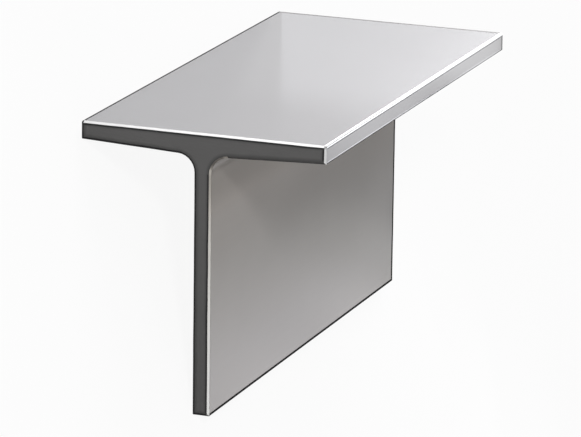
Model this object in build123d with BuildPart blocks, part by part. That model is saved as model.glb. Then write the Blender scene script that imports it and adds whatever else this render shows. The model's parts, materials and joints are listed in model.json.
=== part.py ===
from build123d import *
from math import atan2, cos, radians, sin, tan
import os

# A short length of steel tee stock: one rolled bar, with a flange, a web and two root fillets,
# sawn square at both ends. Millimetres and degrees.

# Rolled section
flange_width = 100.0
section_depth = 112.0
web_thickness = 7.0
flange_tip_thickness = 7.3
flange_taper = 2.3  # slope of the flange's two inner faces, which thicken towards the web
root_radius = 7.0
flange_edge_radius = 1.0  # the flange's two outer long edges
rolled_edge_radius = 0.4  # the flange's two inner long edges and the web's two toe edges

# Sawn length
bar_length = 210.0
end_arris = 0.9  # filed bevel all round both sawn ends

half_flange = flange_width / 2
half_web = web_thickness / 2
taper = radians(flange_taper)
root_depth = flange_tip_thickness + (half_flange - half_web) * tan(taper)

# The bar lies unheld on its side, on one inner edge of the flange and one edge of the web's toe.
# Both edges have the same radius, so the floor is parallel to the line between their centres.
tip_centre_depth = flange_tip_thickness + rolled_edge_radius * (tan(taper) - 1 / cos(taper))
toe_centre_depth = section_depth - rolled_edge_radius
lean = atan2(toe_centre_depth - tip_centre_depth, half_flange - half_web)

# The section's own directions, seen along the bar: across the flange, and out of its face.
across_x, across_z = cos(lean), sin(lean)
outward_x, outward_z = -sin(lean), cos(lean)

# The turned section's reach, from the middle of the flange's face to the floor and to each side.
floor_z = (
    -across_z * (half_flange - rolled_edge_radius)
    - outward_z * tip_centre_depth
    - rolled_edge_radius
)
flange_reach_x = (
    -across_x * (half_flange - flange_edge_radius)
    - outward_x * flange_edge_radius
    - flange_edge_radius
)
toe_reach_x = (
    across_x * (half_web - rolled_edge_radius)
    - outward_x * toe_centre_depth
    + rolled_edge_radius
)

# The model's origin is on the floor, under the middle of the bar.
section_plane = Plane(
    origin=(-(flange_reach_x + toe_reach_x) / 2, 0, -floor_z),
    x_dir=(across_x, 0, across_z),
    z_dir=(0, -1, 0),
)
out_of_flange = Axis(section_plane.origin, section_plane.y_dir)

# The bar: its section runs the whole length, with the ends bevelled and the rolled edges rounded.
with BuildPart() as tee_bar:
    with BuildSketch(section_plane) as section:
        with BuildLine():
            Polyline(
                (0, 0),
                (half_flange, 0),
                (half_flange, -flange_tip_thickness),
                (half_web, -root_depth),
                (half_web, -section_depth),
                (0, -section_depth),
                close=True,
            )
        make_face()
        mirror(about=Plane.YZ)
        fillet(section.vertices().group_by(Axis.Y)[-1], radius=flange_edge_radius)
        fillet(section.vertices().group_by(Axis.Y)[1], radius=root_radius)
    extrude(amount=bar_length / 2, both=True)

    sawn_faces = tee_bar.faces().filter_by(Axis.Y)
    chamfer(sawn_faces.edges(), length=end_arris)

    long_edges = tee_bar.edges().filter_by(Axis.Y).group_by(out_of_flange)
    toe_edges = long_edges[0]
    inner_flange_edges = long_edges[-3]
    fillet(toe_edges + inner_flange_edges, radius=rolled_edge_radius)

tee_bar.part.label = "tee_bar"

os.makedirs("parts", exist_ok=True)
export_step(tee_bar.part, "parts/tee_bar.step")
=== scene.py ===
import json
from math import acos, atan2, cos, pi, radians, sin, tan

import bmesh
import bpy
from mathutils import Matrix, Vector, noise


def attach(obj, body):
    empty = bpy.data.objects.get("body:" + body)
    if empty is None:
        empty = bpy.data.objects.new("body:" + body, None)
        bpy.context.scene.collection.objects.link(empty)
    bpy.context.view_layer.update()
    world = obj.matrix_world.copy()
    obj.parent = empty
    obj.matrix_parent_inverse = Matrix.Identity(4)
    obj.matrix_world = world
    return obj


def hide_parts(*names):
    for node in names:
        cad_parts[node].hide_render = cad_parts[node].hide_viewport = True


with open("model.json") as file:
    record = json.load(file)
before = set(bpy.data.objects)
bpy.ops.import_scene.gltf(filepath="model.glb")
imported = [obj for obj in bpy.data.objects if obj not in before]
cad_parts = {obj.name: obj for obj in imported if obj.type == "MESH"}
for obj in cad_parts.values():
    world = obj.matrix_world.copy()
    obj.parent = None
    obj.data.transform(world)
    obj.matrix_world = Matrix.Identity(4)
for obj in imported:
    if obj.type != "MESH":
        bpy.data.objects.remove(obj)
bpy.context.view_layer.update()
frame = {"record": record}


# The tee bar
# One rolled length of mild steel: a flange, a web and two root fillets. Its long faces keep the
# satin skin of the rolls, both ends are sawn square and dark, their grey partly the rough sawn
# steel and partly painted shade, and a file has broken the edges round each end. It lies unheld
# on its side, as the frame has it.
mm = 0.001
flange_width = 100 * mm
section_depth = 112 * mm
web_thickness = 7 * mm
flange_tip_thickness = 7.3 * mm
flange_taper = radians(2.3)
root_radius = 7 * mm
flange_edge_radius = 1 * mm
rolled_edge_radius = 0.4 * mm
least_radius = 0.02 * mm  # what a round edge keeps where a bevel cuts deeper than its radius
end_arris = 0.9 * mm
arris_softness = 0.35 * mm  # radius where the filed bevel meets the faces beside it
arris_unevenness = 0.14  # how much the filed bevel's width wanders, as a share of it
arris_wander_length = 9 * mm
end_strip = 3 * end_arris  # the long faces are even further than this from their ends
face_rim = 0.6 * mm  # the sawn face's darkest border, inside the filed bevel
face_border = 2.4 * mm  # the sawn face is evenly grey further in than this
edge_tone = 0.35  # the share of its colour that the sawn face keeps at its very edge
rim_width = 0.6 * mm  # a long face's second stripe, beside the line at its long edge
last_width = 0.55 * mm  # its last stripe, beside the next long edge
arc_pieces = 7  # straight pieces in each rounded corner
outline_pitch = 3 * mm
ring_pitch = 10 * mm

# The finish of the bar's length, anticlockwise from the toe: round a long edge, on the two stripes
# beside it, on the face that follows, and on that face's last stripe.
# The dark and black lines round the flange's tips and at the toe are painted shade, and the bright
# stripes at the flange's right-hand edges are painted highlight.
length_finishes = [
    ("black", "black", "rolled", "rolled", "rolled"),  # toe's right edge and the web's right face
    ("rolled", "rolled", "rolled", "rolled", "rolled"),  # right root and under the flange
    ("scale", "scale", "bright", "rolled", "dull"),  # flange's inner right edge, right edge face
    ("bright", "rubbed", "rubbed", "rubbed", "scale"),  # flange's outer right edge, outer face
    ("scale", "rolled", "rolled", "rolled", "rolled"),  # flange's outer left edge, left edge face
    ("scale", "rolled", "rolled", "rolled", "rolled"),  # flange's inner left edge and under it
    ("rolled", "rolled", "rolled", "rolled", "scale"),  # left root and the web's left face
    ("scale", "rolled", "rolled", "rolled", "scale"),  # toe's left edge and the toe
]
# How wide the first stripe is on each of those sides.
line_widths = [0.9 * mm, 0.3 * mm, 0.12 * mm] + [0.3 * mm] * 5
# The finish of each end's bevel, at a side's first corner and along the side. On the flange's right
# edge face and outer face, which catch the light, it is painted lighter than filed steel: painted
# highlight. On the left-hand sides and at the toe it is painted dark: painted shade.
bevel_finishes = [("scale", "filed"), ("filed", "sawn"), ("bright", "bright"), ("bright", "bright")]
bevel_finishes += [("scale", "scale")] * 4
# The sawn face's border is dark. On these sides it takes in the whole rim. On the others it is the
# turn into the bevel alone, and blacker, and under the flange's right half there is none.
wide_border_sides = (0, 2, 3)
no_border_side = 1
# The sides whose long face is darker just beside the far end's bevel, and its finish there.
far_strip_finishes = {0: "scale", 2: "dull", 3: "dull"}

mounts = {mount["name"]: mount for mount in frame["record"]["mounts"]}
across = Vector(mounts["web_face_up"]["axis"])
outward = Vector(mounts["flange_face"]["axis"])
along = Vector(mounts["far_end"]["axis"])
half_length = mounts["far_end"]["pos_m"][1]
flange_middle = Vector(mounts["flange_face"]["pos_m"])

# The bar's own axes: x across the flange, y along the bar, z out of the flange's face.
bar_turn = Matrix((across, along, outward)).transposed()
bar_place = Matrix.Translation(flange_middle) @ bar_turn.to_4x4()


def arc(before, corner, after, radius):
    """Points round one corner of an outline, from the run before it to the run after it."""
    back, on = (before - corner).normalized(), (after - corner).normalized()
    half_angle = acos(max(-1.0, min(1.0, back.dot(on)))) / 2
    start = corner + back * radius / tan(half_angle)
    middle = corner + (back + on).normalized() * radius / sin(half_angle)
    spoke = start - middle
    turn = pi - 2 * half_angle
    if back.cross(on) > 0:
        turn = -turn
    points = []
    for step in range(arc_pieces + 1):
        angle = turn * step / arc_pieces
        turned = Vector((
            spoke.x * cos(angle) - spoke.y * sin(angle),
            spoke.x * sin(angle) + spoke.y * cos(angle),
        ))
        points.append(middle + turned)
    return points


def section_corners(inset):
    """The tee's corners and their radii, anticlockwise, with every side moved in by the inset."""
    half_flange, half_web = flange_width / 2, web_thickness / 2
    root_depth = flange_tip_thickness + (half_flange - half_web) * tan(flange_taper)
    right_side = [
        (half_web, -section_depth, rolled_edge_radius),
        (half_web, -root_depth, -root_radius),
        (half_flange, -flange_tip_thickness, rolled_edge_radius),
        (half_flange, 0, flange_edge_radius),
    ]
    sides = right_side + [(-x, z, radius) for x, z, radius in reversed(right_side)]
    places = [Vector((x, z)) for x, z, _ in sides]
    moved = []
    for index, (x, z, radius) in enumerate(sides):
        came = (places[index] - places[index - 1]).normalized()
        goes = (places[(index + 1) % len(places)] - places[index]).normalized()
        in_came, in_goes = Vector((-came.y, came.x)), Vector((-goes.y, goes.x))
        shift = (in_came + in_goes) * inset / (1 + in_came.dot(in_goes))
        kept = max(radius - inset, least_radius) if radius > 0 else inset - radius
        moved.append((places[index] + shift, kept))
    return moved


def section_outline(inset):
    """Points round the tee, the same number for every inset, and each point's side and stretch.

    The stretches are numbered as the finishes of the bar's length are listed.
    """
    full, moved = section_corners(0), section_corners(inset)
    outline, stretches = [], []
    for index in range(len(moved)):
        (corner, radius), (after, after_radius) = moved[index], moved[(index + 1) % len(moved)]
        before = moved[index - 1][0]
        beyond = moved[(index + 2) % len(moved)][0]
        turned = arc(before, corner, after, radius)
        next_start = arc(corner, after, beyond, after_radius)[0]
        outline += turned
        stretches += [(index, 0)] * arc_pieces + [(index, 1)]
        run = (full[(index + 1) % len(full)][0] - full[index][0]).length
        line, last = line_widths[index] / run, last_width / run
        rim = line + rim_width / run
        outline.append(turned[-1].lerp(next_start, line))
        stretches.append((index, 2))
        pieces = max(1, round(run / outline_pitch))
        for step in range(pieces):
            outline.append(turned[-1].lerp(next_start, rim + (1 - rim - last) * step / pieces))
            stretches.append((index, 3))
        outline.append(turned[-1].lerp(next_start, 1 - last))
        stretches.append((index, 4))
    return outline, stretches


def arris_path():
    """The filed bevel and the sawn face's border, as (inset, distance from the sawn face)."""
    on_side = Vector((0, end_strip))
    side_corner = Vector((0, end_arris))
    face_corner = Vector((end_arris, 0))
    on_face = Vector((end_arris + face_rim, 0))
    inside = Vector((face_border, 0))
    side_turn = arc(on_side, side_corner, face_corner, arris_softness)
    face_turn = arc(side_corner, face_corner, on_face, arris_softness)
    return [on_side, *side_turn, *face_turn, on_face, inside]


plain_outline, stretches = section_outline(0)
bar_mesh = bpy.data.meshes.new("tee_bar_rolled")
bar_shape = bmesh.new()
face_tone = bar_shape.verts.layers.float.new("face_tone")
rings = []


def lay_ring(inset, distance, end):
    """One ring of points round the section; end is -1 at the near end and 1 at the far end."""
    ring = []
    for plain, moved in zip(plain_outline, section_outline(inset)[0]):
        wander = noise.noise(Vector((plain.x, plain.y, end)) / arris_wander_length)
        share = 1 + arris_unevenness * wander
        place = plain + (moved - plain) * share
        corner = bar_shape.verts.new((place.x, end * (half_length - distance * share), place.y))
        corner[face_tone] = edge_tone + (1 - edge_tone) * inset / face_border
        ring.append(corner)
    rings.append(ring)


path = arris_path()
for station in reversed(path):
    lay_ring(station.x, station.y, -1)
body_length = 2 * (half_length - path[0].y)
body_pieces = round(body_length / ring_pitch)
for step in range(1, body_pieces):
    y = body_length * (step / body_pieces - 0.5)
    rings.append([bar_shape.verts.new((place.x, y, place.y)) for place in plain_outline])
for station in path:
    lay_ring(station.x, station.y, 1)

finishes = ["rolled", "rubbed", "filed", "bright", "sawn", "scale", "black", "dull"]
# The rows of faces are counted from each sawn end: first the border of its face, next the rim
# beside the bevel, then the turn into the bevel, the bevel itself, and the strip beside it on the
# long faces.
last_turn_row = arc_pieces + 1
strip_row = len(path) - 2
for number, (ring, after) in enumerate(zip(rings, rings[1:])):
    row = min(number, len(rings) - 2 - number)
    at_far_end = number > row
    for index in range(len(ring)):
        beside = (index + 1) % len(ring)
        quad = bar_shape.faces.new((ring[index], ring[beside], after[beside], after[index]))
        side, stretch = stretches[index]
        if row <= last_turn_row and side in wide_border_sides:
            finish = "scale" if row > 0 else "sawn"
        elif row <= last_turn_row:
            finish = "black" if row > 1 and side != no_border_side else "sawn"
        elif row < strip_row:
            finish = bevel_finishes[side][min(stretch, 1)]
        elif row == strip_row and at_far_end and side in far_strip_finishes and stretch > 0:
            finish = far_strip_finishes[side]
        else:
            finish = length_finishes[side][stretch]
        quad.material_index = finishes.index(finish)

saw_pitch = 1.1 * mm  # from one line of the saw to the next
saw_depth = 0.03 * mm
saw_slant = radians(5)  # between the saw's lines and the flange's face
saw_reach = 1.1 * section_depth  # the slanted lines start above the flange and end below the toe
lines_above = 5
cut_tolerance = 0.01 * mm
even_tone = 0.99  # the saw's lines lie where the sawn face keeps more of its colour than this
line_strength = 0.7  # a line's depth as a share of the saw's depth
line_change = 0.6  # how much that share changes
changes_per_line = 0.45  # from one line to the next
changes_per_metre = 12  # along one line
ends_apart = 7  # how far the two ends are from each other in the noise, so that they differ


def saw(ring, end):
    """Closes one end and cuts its face into strips, whose edges are the saw's lines."""
    face = bar_shape.faces.new(ring)
    face.material_index = finishes.index("sawn")
    down = Vector((sin(saw_slant), 0, cos(saw_slant)))
    border = {beside for edge in face.edges for beside in edge.link_faces}
    cut = {item for part in border for item in (part, *part.edges, *part.verts)}
    for step in range(round(saw_reach / saw_pitch)):
        for half in (0, 0.5):
            made = bmesh.ops.bisect_plane(
                bar_shape, geom=list(cut), dist=cut_tolerance,
                plane_co=down * saw_pitch * (lines_above - step - half), plane_no=down,
            )
            cut = made["geom"]
    strips = [item for item in cut if isinstance(item, bmesh.types.BMFace)]
    for corner in {corner for strip in strips for corner in strip.verts}:
        line = corner.co.dot(down) / saw_pitch
        spot = Vector((
            changes_per_line * line, ends_apart * end, corner.co.x * changes_per_metre,
        ))
        uneven = line_strength + line_change * noise.noise(spot)
        if corner[face_tone] > even_tone:
            corner.co.y -= end * saw_depth * uneven * (0.5 + 0.5 * cos(2 * pi * line))


saw(rings[0], -1)
saw(rings[-1], 1)
bmesh.ops.recalc_face_normals(bar_shape, faces=bar_shape.faces)
end_faces = [face for face in bar_shape.faces if len(face.verts) > 4]
bmesh.ops.triangulate(bar_shape, faces=end_faces)
for face in bar_shape.faces:
    face.smooth = True
bar_shape.transform(bar_place)
bar_shape.to_mesh(bar_mesh)
bar_shape.free()

tee_bar = bpy.data.objects.new("tee_bar_rolled", bar_mesh)
bpy.context.scene.collection.objects.link(tee_bar)
even_shading = tee_bar.modifiers.new("even shading", "WEIGHTED_NORMAL")
even_shading.keep_sharp = True


class Wire:
    """A socket of a material. Arithmetic on wires and numbers adds Math nodes; node adds any other."""

    def __init__(self, tree, socket=None):
        self.tree, self.socket = tree, socket

    def node(self, kind, settings=None, inputs=None, output=0):
        """Adds a node: its settings first, then numbers, colours or wires for its sockets."""
        made = self.tree.nodes.new(kind)
        for name, value in (settings or {}).items():
            if name == "stops":
                for stop, (place, colour) in zip(self._stops(made, len(value)), value):
                    stop.position, stop.color = place, colour
            else:
                setattr(made, name, value)
        for name, value in (inputs or {}).items():
            if isinstance(value, Wire):
                self.tree.links.new(value.socket, made.inputs[name])
            else:
                made.inputs[name].default_value = value
        return Wire(self.tree, made.outputs[output]) if made.outputs else made

    def _stops(self, ramp, count):
        stops = ramp.color_ramp.elements
        while len(stops) < count:
            stops.new(1)
        return stops

    def _math(self, operation, first, second):
        return self.node("ShaderNodeMath", {"operation": operation}, {0: first, 1: second})

    def __add__(self, other):
        return self._math("ADD", self, other)

    def __radd__(self, other):
        return self._math("ADD", other, self)

    def __sub__(self, other):
        return self._math("SUBTRACT", self, other)

    def __rsub__(self, other):
        return self._math("SUBTRACT", other, self)

    def __mul__(self, other):
        return self._math("MULTIPLY", self, other)

    def __rmul__(self, other):
        return self._math("MULTIPLY", other, self)


def new_finish(name):
    """An empty material and the wire that adds its nodes."""
    finish = bpy.data.materials.new(name)
    finish.use_nodes = True
    finish.node_tree.nodes.clear()
    return finish, Wire(finish.node_tree)


lean = atan2(across.z, across.x)
# Painted shade: near the two roots, where the flange shades the web, the steel's colour is
# darkened and turned brown. It is darkest round this point in the fillet, and fades out over the
# reach, down the web.
root_shade_x = web_thickness / 2 + 2 * mm
root_shade_z = -10 * mm
root_reach = 100 * mm
root_stretch = 2  # it reaches that many times further down the web than along the flange
# What is left of the steel's colour, at shares of that reach.
root_shade_tones = [
    (0.042, (0.3, 0.28, 0.26, 1)),
    (0.0525, (0.36, 0.335, 0.31, 1)),
    (0.0625, (0.6, 0.565, 0.525, 1)),
    (0.072, (0.72, 0.68, 0.63, 1)),
    (0.11, (0.735, 0.695, 0.64, 1)),
    (0.146, (0.795, 0.75, 0.695, 1)),
    (0.21, (0.97, 0.92, 0.86, 1)),
    (0.25, (1, 0.96, 0.91, 1)),
    (0.5, (1, 0.985, 0.955, 1)),
    (0.85, (1, 1, 1, 1)),
]


def root_painted_shade(wire, on_bar):
    """The share of its colour that the steel keeps under the painted shade, by the distance from the
    nearer root.
    """
    sideways = wire.node("ShaderNodeSeparateXYZ", inputs={0: on_bar})
    height = wire.node("ShaderNodeSeparateXYZ", inputs={0: on_bar}, output=2)
    from_middle = wire.node("ShaderNodeMath", {"operation": "ABSOLUTE"}, {0: sideways})
    beside = (from_middle - root_shade_x) * root_stretch
    below = height - root_shade_z
    squared = beside * beside + below * below
    distance = wire.node("ShaderNodeMath", {"operation": "SQRT"}, {0: squared})
    return wire.node("ShaderNodeValToRGB", {"stops": root_shade_tones}, {0: distance * (1 / root_reach)})


def border_tint(wire, on_bar):
    """The share of its colour that the sawn face keeps, darker towards its edges."""
    return wire.node("ShaderNodeAttribute", {"attribute_name": "face_tone"}, output=2)


streaks_per_metre = 900
clouds_per_metre = 45
streak_share = 0.4  # how much of a colour's change is streaks, where the rest is clouds
along_bar = (1, 0.02, 1)  # how close the streaks are across, along and out of the flange's face
with_saw = (0.03, 1, 1)
mix_first, mix_second = 6, 7  # the two colour sockets of a Mix node


def steel(
    name, dark, light, metal, roughness, swing, line_depth,
    lines=along_bar, gloss=0.5, tint=None,
):
    """Bare steel with fine lines: dark and light are the two ends of its colour."""
    finish, wire = new_finish(name)
    place = wire.node("ShaderNodeTexCoord", output="Object")
    from_middle = wire.node(
        "ShaderNodeVectorMath", {"operation": "SUBTRACT"}, {0: place, 1: flange_middle},
    )
    on_bar = wire.node(
        "ShaderNodeVectorRotate", {"rotation_type": "Y_AXIS"}, {"Vector": from_middle, "Angle": lean},
    )
    drawn = wire.node("ShaderNodeMapping", inputs={"Vector": on_bar, "Scale": lines})
    streaks = wire.node(
        "ShaderNodeTexNoise", inputs={"Vector": drawn, "Scale": streaks_per_metre, "Detail": 4},
    )
    clouds = wire.node(
        "ShaderNodeTexNoise", inputs={"Vector": place, "Scale": clouds_per_metre, "Detail": 3},
    )
    tone = streaks * streak_share + clouds * (1 - streak_share)
    colour = wire.node(
        "ShaderNodeMix",
        {"data_type": "RGBA"},
        {"Factor": tone, mix_first: (*dark, 1), mix_second: (*light, 1)},
        output=2,
    )
    if tint:
        colour = wire.node(
            "ShaderNodeMix",
            {"data_type": "RGBA", "blend_type": "MULTIPLY"},
            {"Factor": 1, mix_first: colour, mix_second: tint(wire, on_bar)},
            output=2,
        )
    relief = wire.node(
        "ShaderNodeBump",
        inputs={"Height": streaks, "Strength": 1, "Distance": line_depth},
    )
    shader = wire.node(
        "ShaderNodeBsdfPrincipled",
        inputs={
            "Base Color": colour,
            "Metallic": metal,
            "Specular IOR Level": gloss,
            "Roughness": roughness + swing * (tone - 0.5),
            "Normal": relief,
        },
    )
    wire.node("ShaderNodeOutputMaterial", inputs={"Surface": shader})
    return finish


finish_looks = {
    "rolled": steel(
        "rolled_steel", (0.55, 0.542, 0.54), (0.61, 0.602, 0.6),
        metal=0.6, roughness=0.36, swing=0.08, line_depth=0.004 * mm, tint=root_painted_shade,
    ),
    "rubbed": steel(
        "rubbed_steel", (0.55, 0.55, 0.56), (0.6, 0.6, 0.61),
        metal=1, roughness=0.16, swing=0.03, line_depth=0.001 * mm,
    ),
    # Painted highlight: steel lighter than filed steel, for the flange's right-hand edges and their
    # bevels, where they catch the light.
    "bright": steel(
        "steel_painted_highlight", (0.76, 0.76, 0.76), (0.86, 0.86, 0.86),
        metal=1, roughness=0.3, swing=0.08, line_depth=0.002 * mm,
    ),
    "filed": steel(
        "filed_steel", (0.52, 0.52, 0.51), (0.62, 0.62, 0.61),
        metal=1, roughness=0.36, swing=0.08, line_depth=0.002 * mm, tint=root_painted_shade,
    ),
    # Painted shade: the sawn ends are rough and a little darker than the rolled faces, and their
    # colour is darkened further to stand in for shade.
    "sawn": steel(
        "sawn_steel", (0.139, 0.138, 0.136), (0.171, 0.169, 0.167),
        metal=1, roughness=0.5, swing=0.1, line_depth=0.004 * mm, lines=with_saw, tint=border_tint,
    ),
    # Dark and black steel for lines painted along the edges. Round the flange's tips, at the toe and
    # on the end bevels that face the floor they are painted shade.
    "scale": steel(
        "dark_edge_lines", (0.02, 0.02, 0.021), (0.05, 0.05, 0.05),
        metal=0, roughness=0.7, swing=0.1, line_depth=0.004 * mm, gloss=0.1,
    ),
    "black": steel(
        "black_edge_lines", (0.007, 0.007, 0.0075), (0.018, 0.018, 0.018),
        metal=0, roughness=0.7, swing=0.1, line_depth=0.004 * mm, gloss=0.1,
    ),
    "dull": steel(
        "dulled_steel", (0.2, 0.198, 0.195), (0.28, 0.277, 0.273),
        metal=0.6, roughness=0.42, swing=0.1, line_depth=0.004 * mm,
    ),
}
for finish in finishes:
    bar_mesh.materials.append(finish_looks[finish])
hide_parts("tee_bar")
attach(tee_bar, "root")


# The floor
# A pale, matt studio floor. It shows white, with the bar's soft shadow left on it, and the steel
# mirrors it a little brighter than it is lit.
floor_reach = 15
seen_white = 0.92  # how far the camera sees it as plain white, where the rest shows the shadow
mirrored_white = 0.12
floor_mesh = bpy.data.meshes.new("studio_floor")
floor_corners = [
    (-floor_reach, -floor_reach, 0),
    (floor_reach, -floor_reach, 0),
    (floor_reach, floor_reach, 0),
    (-floor_reach, floor_reach, 0),
]
floor_mesh.from_pydata(floor_corners, [], [(0, 1, 2, 3)])
floor = bpy.data.objects.new("studio_floor", floor_mesh)
bpy.context.scene.collection.objects.link(floor)
floor_finish, wire = new_finish("white_floor")
paper = wire.node("ShaderNodeBsdfDiffuse", inputs={"Color": (0.8, 0.8, 0.8, 1)})
white = wire.node("ShaderNodeEmission", inputs={"Color": (1, 1, 1, 1), "Strength": 1})
seen = wire.node("ShaderNodeLightPath", output="Is Camera Ray")
mirrored = wire.node("ShaderNodeLightPath", output="Is Glossy Ray")
through = wire.node("ShaderNodeLightPath", output="Is Transmission Ray")
whiteness = seen * seen_white + (mirrored + through) * mirrored_white
surface = wire.node("ShaderNodeMixShader", inputs={0: whiteness, 1: paper, 2: white})
wire.node("ShaderNodeOutputMaterial", inputs={"Surface": surface})
floor_mesh.materials.append(floor_finish)


# The studio's light
# A dim even room, soft boxes round the bar, and small pale cards close to it that its faces
# mirror. Brightness is how bright a lamp's face looks, where 1 is white. No lamp is seen itself.
room_brightness = 0.12
room = bpy.data.worlds.new("studio_room")
bpy.context.scene.world = room
room.use_nodes = True
room.node_tree.nodes.clear()
wire = Wire(room.node_tree)
seen = wire.node("ShaderNodeLightPath", output="Is Camera Ray")
around = wire.node(
    "ShaderNodeBackground", inputs={"Color": (1, 1, 1, 1), "Strength": room_brightness},
)
behind = wire.node("ShaderNodeBackground", inputs={"Color": (1, 1, 1, 1), "Strength": 1})
sky = wire.node("ShaderNodeMixShader", inputs={0: seen, 1: around, 2: behind})
wire.node("ShaderNodeOutputWorld", inputs={"Surface": sky})


def soft_box(name, place, aim, size, brightness, colour=(1, 1, 1), upright=(0, 0, 1)):
    """A rectangular lamp that faces the point aim, size wide and high, in metres."""
    shine = bpy.data.lights.new(name, "AREA")
    shine.shape = "RECTANGLE"
    shine.size, shine.size_y = size
    shine.energy = brightness * pi * size[0] * size[1]
    shine.color = colour
    lamp = bpy.data.objects.new(name, shine)
    bpy.context.scene.collection.objects.link(lamp)
    facing = (Vector(place) - Vector(aim)).normalized()
    side = Vector(upright).cross(facing).normalized()
    turned = Matrix((side, facing.cross(side), facing)).transposed().to_4x4()
    lamp.matrix_world = Matrix.Translation(place) @ turned
    lamp.visible_camera = False


def by_bar(x, y, z):
    """A world place given in the bar's own axes, with y from its far end."""
    return bar_place @ Vector((x, half_length + y, z))


rose, pink, cream = (1, 0.97, 1), (1, 0.96, 1), (1, 0.985, 0.92)
cool, blue, warm = (0.965, 0.975, 1), (0.94, 0.95, 1), (1, 0.955, 0.94)

# The soft boxes behind the bar and at its sides.
bar_middle = bar_place @ Vector((0, 0, -0.03))
soft_box(
    "back_left_box", (-0.844, 0.603, 0.643), bar_middle,
    size=(0.6, 0.6), brightness=6.74, colour=rose,
)
soft_box("back_low_box", (-0.381, 0.914, 0.182), bar_middle, size=(0.6, 0.25), brightness=4.04)
soft_box("back_edge_box", (-0.141, 0.845, 0.322), bar_middle, size=(0.7, 0.3), brightness=0.747)
soft_box("left_edge_box", (-0.959, -0.259, 0.159), bar_middle, size=(0.5, 0.25), brightness=1.95)
soft_box("right_edge_box", (0.605, -0.341, 0.76), bar_middle, size=(0.5, 0.5), brightness=0.715)
soft_box("right_box", (1.08, 0.12, 0.46), bar_middle, size=(0.6, 0.5), brightness=2.95)
soft_box("front_left_box", (-0.9, -0.8, 0.8), bar_middle, size=(0.6, 0.6), brightness=0.3)

# A card for the near end's lowest corner, at the toe.
toe_card_distance = 0.3
toe_corner = bar_place @ Vector((0.003, -half_length, -section_depth))
to_card = bar_turn @ Vector((0.9, -0.34, -0.26))
soft_box(
    "toe_card", toe_corner + toe_card_distance * to_card, toe_corner,
    size=(0.12, 0.12), brightness=1.3,
)

# The main light, from the front and the right. The flange shades the web from it.
main_distance = 1.2
shaded = bar_place @ Vector((0.027, -0.065, -0.03))
to_main = (bar_turn @ Vector((1, -1.6, 1.13))).normalized()
soft_box("main_box", shaded + main_distance * to_main, shaded, size=(0.18, 0.13), brightness=92)

# The cards that the flange's face, its right edge face and the web mirror.
soft_box(
    "flange_card", by_bar(0.02, 0.004, 0.02), by_bar(0.02, -0.1, 0.02),
    size=(0.14, 0.04), brightness=0.2, colour=cool, upright=outward,
)
soft_box(
    "flange_card_left", by_bar(-0.11, 0.006, 0.02), by_bar(-0.11, -0.1, 0.02),
    size=(0.118, 0.04), brightness=0.0575, upright=outward,
)
soft_box(
    "edge_card", by_bar(0.12, 0.025, 0.009), by_bar(0.12, -0.1, 0.009),
    size=(0.12, 0.076), brightness=0.868, colour=cool, upright=outward,
)
soft_box(
    "edge_card_right", by_bar(0.16, 0.03, -0.03), by_bar(0.05, -0.155, -0.004),
    size=(0.09, 0.09), brightness=1.463, colour=blue, upright=outward,
)
web_middle = bar_place @ Vector((web_thickness / 2, 0, -0.08))
soft_box(
    "web_card", (0.22, 0.16, 0.075), web_middle,
    size=(0.16, 0.12), brightness=0.58, colour=warm,
)
soft_box(
    "web_card_low", (0.14, 0.17, 0.045), web_middle,
    size=(0.08, 0.07), brightness=0.431, colour=pink,
)
soft_box(
    "web_card_far", (0.085, 0.145, 0.03), web_middle,
    size=(0.05, 0.05), brightness=0.232, colour=cream,
)


# The camera
# It stands before the near end, to its right and out from the flange's face, where the bar's
# corners fit the photo. It is turned with the bar, so the flange is on top in the picture.
photo_width_px = 581
lens_px = 4757
sensor_width_mm = 36
camera_swing = radians(20.70)
camera_drop = radians(15.08)
camera_roll = radians(0.745)
# Its place in the bar's own axes, from the middle of the flange's near edge.
camera_across, camera_back, camera_out = 0.6484, 1.6205, 0.4373
nearest_seen, farthest_seen = 0.05, 60

lens = bpy.data.cameras.new("photo_camera")
lens.sensor_width = sensor_width_mm
lens.lens = lens_px * sensor_width_mm / photo_width_px
lens.clip_start, lens.clip_end = nearest_seen, farthest_seen
camera = bpy.data.objects.new("photo_camera", lens)
bpy.context.scene.collection.objects.link(camera)
aim = (
    Matrix.Rotation(camera_swing, 4, "Z")
    @ Matrix.Rotation(pi / 2 - camera_drop, 4, "X")
    @ Matrix.Rotation(camera_roll, 4, "Z")
)
stand = Matrix.Translation((camera_across, -half_length - camera_back, camera_out))
camera.matrix_world = bar_place @ stand @ aim
bpy.context.scene.camera = camera
bpy.context.scene.view_settings.view_transform = "Standard"
